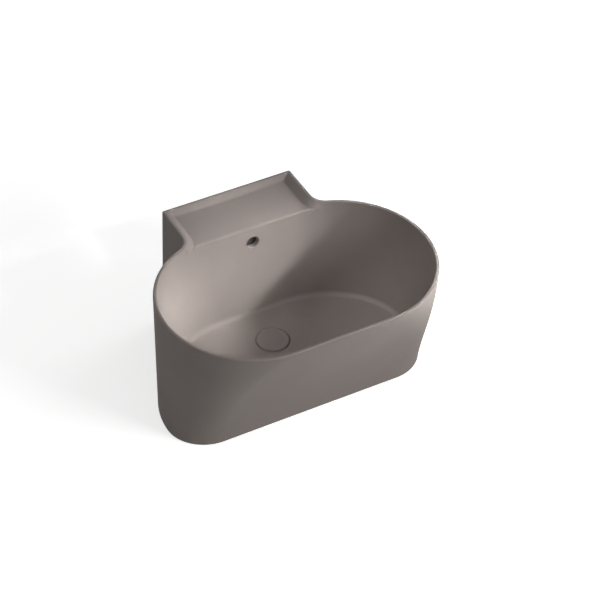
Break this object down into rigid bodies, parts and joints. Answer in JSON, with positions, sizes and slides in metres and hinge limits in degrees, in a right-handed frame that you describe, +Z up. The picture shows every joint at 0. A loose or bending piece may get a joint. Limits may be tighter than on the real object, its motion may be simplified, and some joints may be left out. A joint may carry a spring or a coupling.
{
  "type": "wall hung basin",
  "caption": "Wall hung oval ceramic basin with a narrow tray ledge at the wall, an overflow hole and a push to open waste with a ceramic cover.",
  "frame": {"origin": "in the wall plane, midway between the axes of the two wall studs", "axes": "+X to the basin's right seen from the front, +Y into the wall, +Z up"},
  "size_m": [0.5998, 0.561, 0.3],
  "materials": {
    "glazed_body": "matte taupe glaze",
    "glazed_cover": "matte taupe glaze",
    "chromed_brass": "polished chrome plate on turned brass",
    "plain_brass": "turned",
    "zinc_steel": "zinc plated",
    "spring_steel": "drawn wire",
    "black_rubber": "moulded, matt",
    "white_nylon": "moulded nylon",
    "grey_acetal": "moulded acetal"
  },
  "bodies": {
    "basin": {"basin_body": "glazed_body", "cartridge_barrel": "grey_acetal", "cartridge_cap": "grey_acetal", "cartridge_spring": "spring_steel", "latch_pin": "spring_steel", "waste_body": "chromed_brass", "flange_gasket": "black_rubber", "lower_gasket": "black_rubber", "slip_washer": "white_nylon", "waste_backnut": "plain_brass", "wall_studs": "zinc_steel", "fixing_sleeves": "white_nylon", "fixing_washers": "zinc_steel", "fixing_nuts": "zinc_steel"},
    "plug": {"drain_cover": "glazed_cover", "cover_hub": "plain_brass", "cover_seal": "black_rubber", "cover_plunger": "plain_brass"}
  },
  "joints": [
    {"name": "cover_lift", "type": "slide", "parent": "basin", "child": "plug", "axis": [0, 0, 1], "range_m": [0, 0.008], "deforming": ["cartridge_spring"]}
  ]
}
